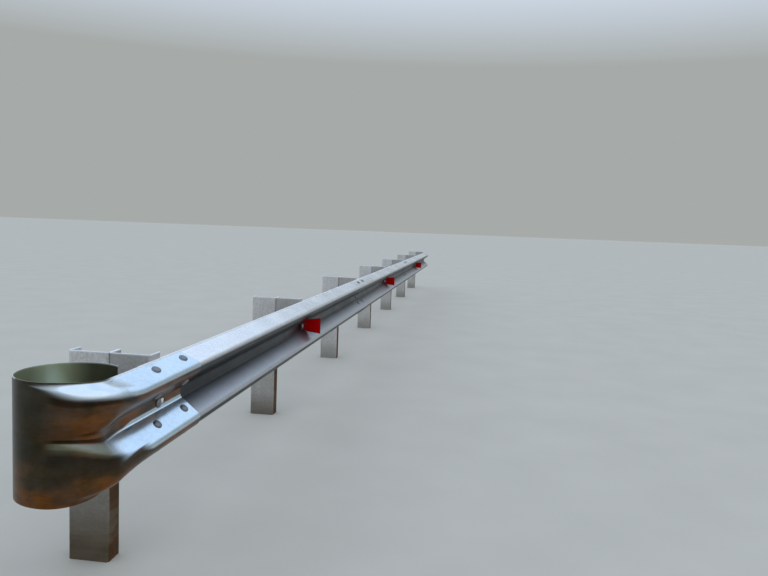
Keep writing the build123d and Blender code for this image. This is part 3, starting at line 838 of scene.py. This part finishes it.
def postBolts():
    # one to a post, through the valley slot into the block-out; the head holds the bracket on a reflector's post,
    # one sheet on the last post and two lapped ones on the others
    heads, backs = [], []
    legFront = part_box("reflector_bracket_1")[1].y - bolts["bracketThick"]
    for n in range(postCount):
        x = n * bayLength + splice["boltLine"] + bolts["postShift"]
        sheets = 1 if n == postCount - 1 else 2
        y = legFront if n in reflectorPosts else backPlane - sheets * wBeam["sheet"]
        heads.append((x, y, railMiddle))
        backs.append((x, backPlane + channel["thick"], railMiddle))
    towards = np.tile([0.0, -1, 0], (postCount, 1))
    turns = chance.uniform(0, math.pi, postCount)
    makeBolts("postBolts", [(buttonHead(), heads, towards, turns), (nutSet(), backs, -towards, turns)])


def blockBolts():
    # two to a post, through the flanges of the post and its block-out, which stand back to back
    heads, backs = [], []
    for n in range(postCount):
        for side in (-1, 1):
            x, z = n * bayLength + splice["boltLine"], railMiddle + side * channel["boltRise"]
            heads.append((x, -channel["web"] / 2 + channel["thick"], z))
            backs.append((x, -channel["web"] / 2 - channel["thick"], z))
    away = np.tile([0.0, 1, 0], (len(heads), 1))
    turns = chance.uniform(0, math.pi, len(heads))
    makeBolts("blockOutBolts", [(hexHead(), heads, away, turns), (nutSet(), backs, -away, turns)])


spliceBolts()
postBolts()
blockBolts()
print("bolts made")


# Reflectors

reflector = {
    "thick": 0.002, "bend": 0.003, "sheetingThick": 0.001, "margin": 0.002, "hole": 0.018,
    "legHalf": 0.025, "shoulderOut": 0.028, "shoulderHalf": 0.038,
    "step": 0.01, "bendCells": 6, "window": 0.014, "windowCells": 6, "edge": 0.0003,
}


def makeStandingSheet(name, cadNode, plan, thick, halfHeight, cuts, material):
    # a plan carried up and down from the rail's middle, as far as its stand-off allows; cuts are near the middle
    v, along = sectionTable(plan)
    window, cells = reflector["window"], reflector["windowCells"]
    windows = [(c["a"], window, cells) for c in cuts]
    bend = np.interp([1, 2], v, along)
    if bend[1] - bend[0] > slight:
        windows.append((bend.mean(), (bend[1] - bend[0]) / 2, reflector["bendCells"]))
    half = reflector["legHalf"]
    u = gridLines(-half, half, reflector["step"], [(0, window, cells)])
    grid, quads = slottedGrid(u, gridLines(0, along[-1], reflector["step"], windows), cuts)
    param = np.interp(grid[:, 1], along, v)
    z = railMiddle + grid[:, 0] / half * halfHeight(backPlane - sheetPoints(plan, 0, param)[:, 1])
    skins = [np.column_stack([sheetPoints(plan, face * thick, param), z]) for face in (0.5, -0.5)]
    piece = makeMesh(name, np.concatenate(skins), closeSheet(quads, len(grid)), material)
    softenEdges(piece, reflector["edge"], 1)
    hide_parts(cadNode)


def makeReflector(n, paint, film):
    # an angle of thin sheet in the valley: its leg under the post bolt's head, its face across the rail
    low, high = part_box(f"reflector_bracket_{n}")
    legY, faceX = high.y - reflector["thick"] / 2, high.x - reflector["thick"] / 2
    reaches = [backPlane - legY, reflector["shoulderOut"], backPlane - low.y]
    halves = [reflector["legHalf"], reflector["shoulderHalf"], (high.z - low.z) / 2]
    bend, margin = reflector["bend"], reflector["margin"]
    plan = np.array([[low.x, legY, 0, 0], [faceX, legY, bend, bend], [faceX, low.y, 0, 0]])
    hole = roundHole(0, n * bayLength + splice["boltLine"] - low.x, reflector["hole"], reflector["window"])
    makeStandingSheet(f"reflectorBracket{n}", f"reflector_bracket_{n}", plan, reflector["thick"],
                      lambda out: np.interp(out, reaches, halves), [hole], paint)
    x = high.x - reflector["thick"] - reflector["sheetingThick"] / 2
    start, end = legY - reflector["thick"] / 2 - margin, low.y + margin
    plan = np.array([[x, start, 0, 0], [x, (start + end) / 2, 0, 0], [x, end, 0, 0]])
    makeStandingSheet(f"reflectorSheeting{n}", f"reflector_sheeting_{n}", plan, reflector["sheetingThick"],
                      lambda out: np.interp(out, reaches, halves) - margin, [], film)


redPaint, redFilm = bracketPaint(), redSheeting()
for n in reflectorPosts:
    makeReflector(n, redPaint, redFilm)
print("reflectors made")


# Ground, light and camera

stageLook = {
    "floor": (0.56, 0.51, 0.43, 1), "floorSize": 400.0, "floorRough": 0.95, "mottle": 2.0, "mottleTone": (0.97, 1.03),
    "below": (0.45, 0.41, 0.35, 1), "horizon": (0.36, 0.38, 0.37, 1),
    "haze": (0.76, 0.88, 1.06, 1), "sky": (0.60, 0.77, 1.0, 1),
    "belowEnd": -0.05, "horizonTop": 0.22, "hazeFrom": 0.39,    # heights of a direction: the sine of its angle
    "skyLight": 1.06, "sunLight": 0.3, "sunAngle": 90.0, "sunFrom": (-0.35, -0.75, 1.0),
    "sunColour": (1.0, 0.96, 0.90),
}


def makeFloor():
    # a wide flat ground, faintly mottled, which is only stage
    material, tree, place = newMaterial("paleFloor")
    mottle = noise(tree, place, stageLook["mottle"], 4.0)
    tone = spread(tree, mottle, 0.3, 0.7, *stageLook["mottleTone"])
    finishMaterial(tree, {"Base Color": toned(tree, stageLook["floor"], tone), "Roughness": stageLook["floorRough"]})
    half = stageLook["floorSize"] / 2
    mesh = bpy.data.meshes.new("floor")
    mesh.from_pydata([(-half, -half, 0), (half, -half, 0), (half, half, 0), (-half, half, 0)], [], [(0, 1, 2, 3)])
    mesh.materials.append(material)
    floor = bpy.data.objects.new("floor", mesh)
    bpy.context.scene.collection.objects.link(floor)


def makeSky():
    # a soft grey band at the horizon, pale haze above it and blue overhead
    world = bpy.data.worlds.new("sky")
    bpy.context.scene.world = world
    world.use_nodes = True
    tree = world.node_tree
    tree.nodes.clear()
    direction = node(tree, "TexCoord").outputs["Generated"]
    height = node(tree, "SeparateXYZ", {"Vector": direction}).outputs["Z"]
    hazy = spread(tree, height, stageLook["horizonTop"], stageLook["hazeFrom"])
    colour = mixColour(tree, hazy, stageLook["horizon"], stageLook["haze"])
    colour = mixColour(tree, spread(tree, height, stageLook["hazeFrom"], 1.0), colour, stageLook["sky"])
    colour = mixColour(tree, spread(tree, height, stageLook["belowEnd"], 0.0), stageLook["below"], colour)
    glow = node(tree, "Background", {"Color": colour, "Strength": stageLook["skyLight"]})
    node(tree, "OutputWorld", {"Surface": glow.outputs["Background"]})


def makeSun():
    light = bpy.data.lights.new("sun", "SUN")
    light.energy = stageLook["sunLight"]
    light.angle = math.radians(stageLook["sunAngle"])
    light.color = stageLook["sunColour"]
    sun = bpy.data.objects.new("sun", light)
    sun.rotation_euler = Vector(stageLook["sunFrom"]).to_track_quat("Z", "Y").to_euler()
    bpy.context.scene.collection.objects.link(sun)


view = {"place": (-2.2232, -1.30777, 1.21185), "yaw": 0.13017, "pitch": 0.08629, "roll": 0.03796,
        "focalPixels": 698.2, "imageWidth": 768, "sensor": 36.0, "farthest": 1000}


def makeCamera():
    # the photograph's camera: yaw from +X towards +Y, pitch downwards, roll about the line of sight
    yaw, pitch, roll = view["yaw"], view["pitch"], view["roll"]
    ahead = Vector((math.cos(yaw) * math.cos(pitch), math.sin(yaw) * math.cos(pitch), -math.sin(pitch)))
    right = ahead.cross(Vector((0, 0, 1))).normalized()
    up = right.cross(ahead)
    turnedRight = math.cos(roll) * right + math.sin(roll) * up
    turnedUp = math.cos(roll) * up - math.sin(roll) * right
    lens = bpy.data.cameras.new("camera")
    lens.sensor_width = view["sensor"]
    lens.lens = view["focalPixels"] / view["imageWidth"] * view["sensor"]
    lens.clip_end = view["farthest"]
    camera = bpy.data.objects.new("camera", lens)
    axes = Matrix((turnedRight, turnedUp, -ahead)).transposed().to_4x4()
    camera.matrix_world = Matrix.Translation(view["place"]) @ axes
    bpy.context.scene.collection.objects.link(camera)
    bpy.context.scene.camera = camera


makeFloor()
makeSky()
makeSun()
makeCamera()
bpy.context.scene.view_settings.view_transform = "Standard"
print("stage made")

bpy.context.view_layer.update()
